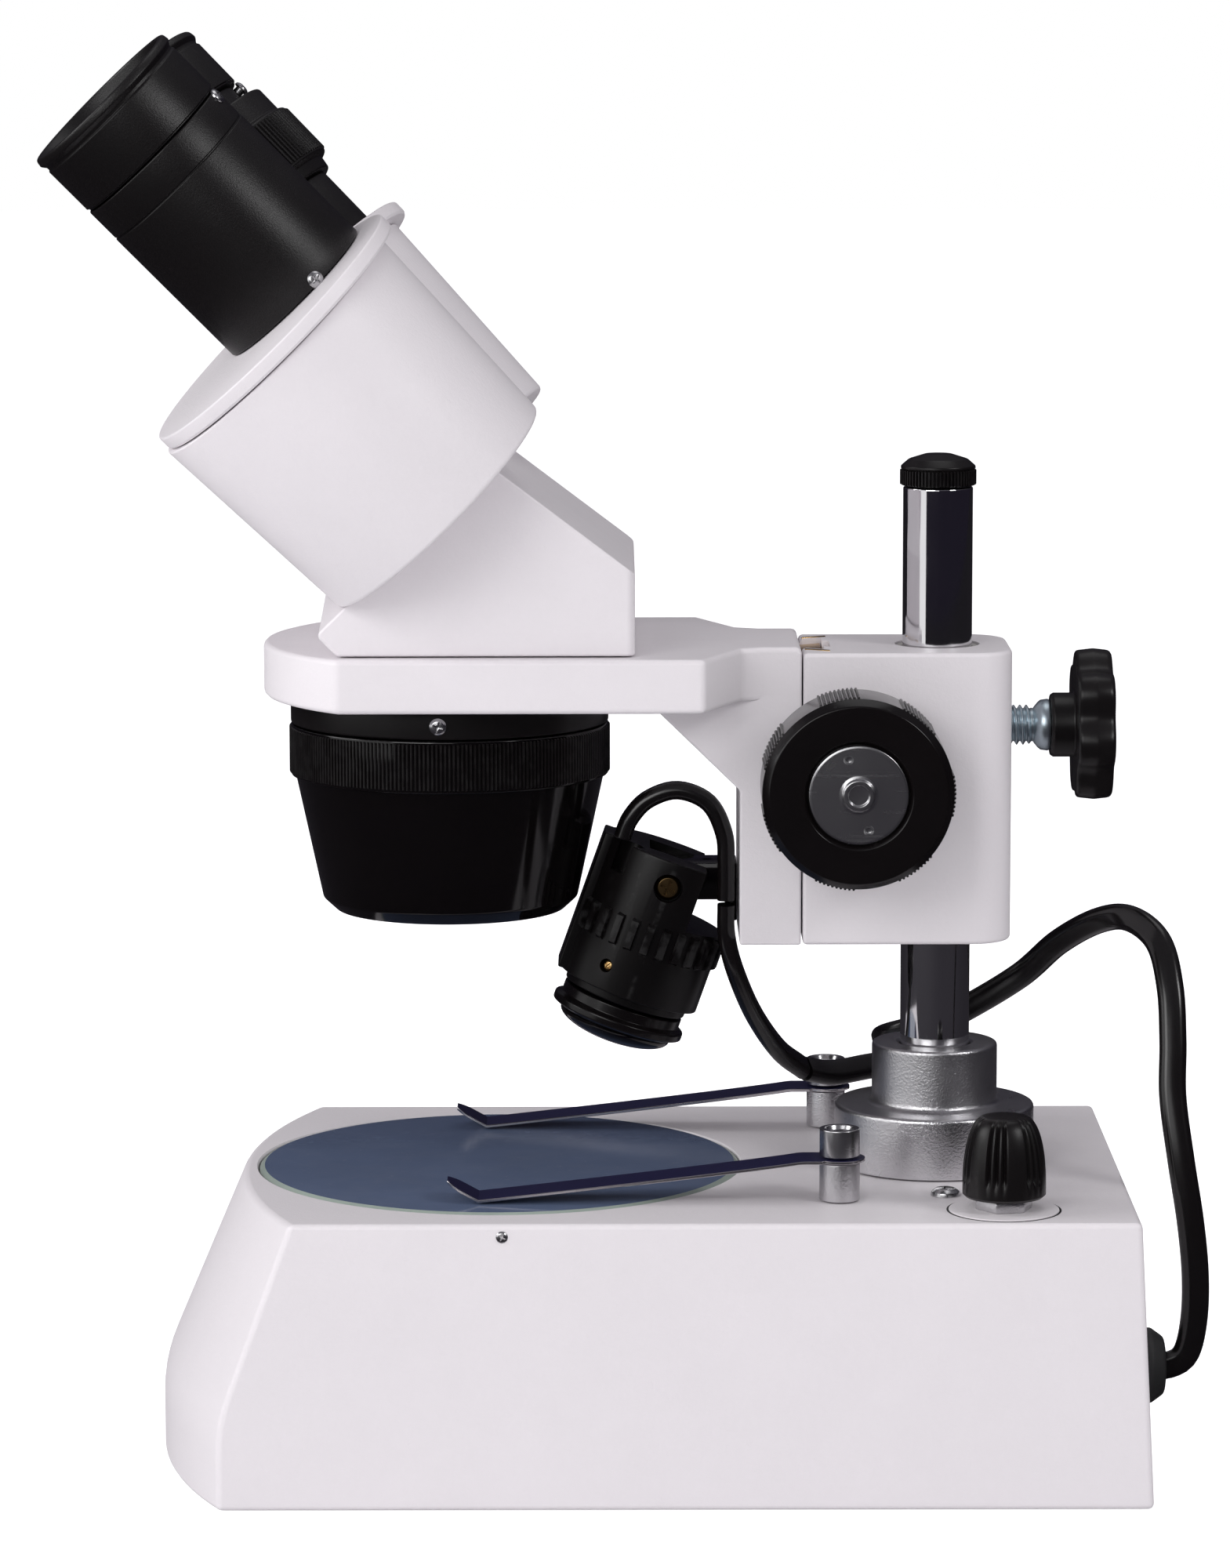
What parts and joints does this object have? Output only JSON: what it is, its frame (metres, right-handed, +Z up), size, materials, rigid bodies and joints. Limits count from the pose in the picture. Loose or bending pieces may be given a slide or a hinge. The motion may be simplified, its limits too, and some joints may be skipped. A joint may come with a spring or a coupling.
{
  "type": "stereo microscope",
  "caption": "Stereo microscope: paired inclined eyepieces over a rotating objective turret, focusing arm on a pillar, adjustable top lamp, hollow base with a glass stage and clips.",
  "frame": {"origin": "middle of the base's footprint box, on the bench", "axes": "+Z up, -X towards the observer, +X towards the pillar, Y across the instrument with the dimmer on -Y"},
  "size_m": [0.222, 0.125, 0.2764],
  "materials": {
    "white_coat": "fine textured off-white powder coat",
    "steel_plate": "plain satin steel",
    "rubber_pad": "matt black rubber",
    "stage_glass": "ground slate blue glass, pale green polished rim",
    "lamp_glass": "clear lamp glass",
    "spring_steel": "polished spring steel",
    "satin_aluminium": "satin turned aluminium",
    "chrome_plate": "polished chrome",
    "black_satin": "satin black",
    "black_tube": "fine grained matt black enamel",
    "black_gloss": "glossy black moulding",
    "zinc_plate": "bluish zinc plate",
    "brass_part": "bright brass",
    "nylon_liner": "plain nylon",
    "optical_glass": "coated lens glass",
    "cable_black": "smooth black cable sheath"
  },
  "bodies": {
    "stand": {"base_shell": "white_coat", "base_cover": "steel_plate", "foot_1": "rubber_pad", "foot_2": "rubber_pad", "foot_3": "rubber_pad", "foot_4": "rubber_pad", "stage_plate": "stage_glass", "stage_bulb": "lamp_glass", "clip_spacer_near": "satin_aluminium", "clip_spacer_far": "satin_aluminium", "clip_screw_near": "chrome_plate", "clip_screw_far": "chrome_plate", "pillar_collar": "satin_aluminium", "pillar": "chrome_plate", "pillar_cap": "black_satin", "pillar_bolt": "zinc_plate", "dimmer_body": "steel_plate", "dimmer_nut": "chrome_plate", "cord_grommet": "rubber_pad", "lamp_lead_4": "cable_black"},
    "clip_near": {"stage_clip_near": "spring_steel"},
    "clip_far": {"stage_clip_far": "spring_steel"},
    "dimmer": {"dimmer_knob": "black_satin"},
    "sleeve": {"liner_sleeve": "nylon_liner", "lamp_lead_3": "cable_black"},
    "arm": {"focus_block": "white_coat", "lamp_lead_2": "cable_black"},
    "clamp_screw": {"clamp_screw": "zinc_plate"},
    "clamp_knob": {"clamp_knob": "black_satin"},
    "focus_shaft": {"pinion_shaft": "steel_plate", "focus_knob_near": "black_gloss", "focus_knob_far": "black_gloss"},
    "carrier": {"head_carrier": "white_coat", "dovetail_slide": "brass_part", "focus_rack": "brass_part", "head_body": "white_coat", "objective_mount": "black_satin", "lamp_bracket": "black_gloss"},
    "turret": {"objective_turret": "black_gloss", "objective_lens_1": "optical_glass", "objective_lens_2": "optical_glass", "objective_lens_3": "optical_glass", "objective_lens_4": "optical_glass"},
    "lamp": {"lamp_housing": "black_satin", "lamp_bezel": "black_gloss", "lamp_lens": "black_gloss", "lamp_pivot_screw": "brass_part", "lamp_lead_1": "cable_black"},
    "barrel_near": {"prism_housing_near": "white_coat", "housing_lid_near": "white_coat", "eyepiece_tube_near": "black_tube"},
    "barrel_far": {"prism_housing_far": "white_coat", "housing_lid_far": "white_coat", "eyepiece_tube_far": "black_tube"},
    "dioptre": {"dioptre_ring": "black_tube"},
    "eyepiece_near": {"eyepiece_near": "black_tube", "eye_lens_near": "optical_glass"},
    "eyepiece_far": {"eyepiece_far": "black_tube", "eye_lens_far": "optical_glass"}
  },
  "joints": [
    {"name": "clip_near_turn", "type": "hinge", "parent": "stand", "child": "clip_near", "pos_m": [0.0442, -0.0354, 0.063], "axis": [0, 0, 1], "range_deg": [-22, 18]},
    {"name": "clip_far_turn", "type": "hinge", "parent": "stand", "child": "clip_far", "pos_m": [0.0442, 0.0354, 0.063], "axis": [0, 0, -1], "range_deg": [-22, 18]},
    {"name": "dimmer_turn", "type": "hinge", "parent": "stand", "child": "dimmer", "pos_m": [0.0752, -0.044, 0.0576], "axis": [0, 0, 1], "range_deg": [-270, 0]},
    {"name": "arm_height", "type": "slide", "parent": "stand", "child": "sleeve", "axis": [0, 0, 1], "range_m": [-0.008, 0.025], "deforming": ["lamp_lead_4"]},
    {"name": "arm_swing", "type": "hinge", "parent": "sleeve", "child": "arm", "pos_m": [0.0643, 0, 0.13], "axis": [0, 0, 1], "range_deg": [-45, 45], "deforming": ["lamp_lead_3"]},
    {"name": "clamp_travel", "type": "slide", "parent": "arm", "child": "clamp_screw", "axis": [1, 0, 0], "range_m": [0, 0.00125]},
    {"name": "clamp_turn", "type": "hinge", "parent": "clamp_screw", "child": "clamp_knob", "pos_m": [0.0912, 0, 0.1427], "axis": [1, 0, 0], "range_deg": [0, 360]},
    {"name": "focus_travel", "type": "slide", "parent": "arm", "child": "carrier", "axis": [0, 0, 1], "range_m": [-0.006, 0.012], "deforming": ["lamp_lead_2"]},
    {"name": "focus_turn", "type": "hinge", "parent": "arm", "child": "focus_shaft", "pos_m": [0.0473, 0, 0.1342], "axis": [0, 1, 0], "range_deg": [-82, 164]},
    {"name": "turret_turn", "type": "hinge", "parent": "carrier", "child": "turret", "pos_m": [-0.0311, 0, 0.143], "axis": [0, 0, 1], "range_deg": [0, 90]},
    {"name": "lamp_tilt", "type": "hinge", "parent": "carrier", "child": "lamp", "pos_m": [0.01153, 0, 0.11194], "axis": [0, 1, 0], "range_deg": [-3, 2], "deforming": ["lamp_lead_1"]},
    {"name": "eye_spacing_near", "type": "hinge", "parent": "carrier", "child": "barrel_near", "pos_m": [-0.0323, -0.0278, 0.1876], "axis": [-0.6939, -0.1132, 0.7111], "range_deg": [-25, 25]},
    {"name": "eye_spacing_far", "type": "hinge", "parent": "carrier", "child": "barrel_far", "pos_m": [-0.0323, 0.0278, 0.1876], "axis": [-0.6939, 0.1132, 0.7111], "range_deg": [-25, 25]},
    {"name": "dioptre_turn", "type": "hinge", "parent": "barrel_far", "child": "dioptre", "pos_m": [-0.05891, 0.02677, 0.22804], "axis": [-0.6939, 0.1132, 0.7111], "range_deg": [-60, 60]},
    {"name": "eyepiece_near_draw", "type": "slide", "parent": "barrel_near", "child": "eyepiece_near", "axis": [-0.6939, -0.1132, 0.7111], "range_m": [0, 0.012]},
    {"name": "eyepiece_far_draw", "type": "slide", "parent": "barrel_far", "child": "eyepiece_far", "axis": [-0.6939, 0.1132, 0.7111], "range_m": [0, 0.012]}
  ],
  "couplings": [
    {"joint": "clamp_turn", "follows": "clamp_travel", "rad_per_m": 5026.5},
    {"joint": "focus_turn", "follows": "focus_travel", "rad_per_m": 238.09},
    {"joint": "eye_spacing_far", "follows": "eye_spacing_near", "ratio": -1}
  ]
}
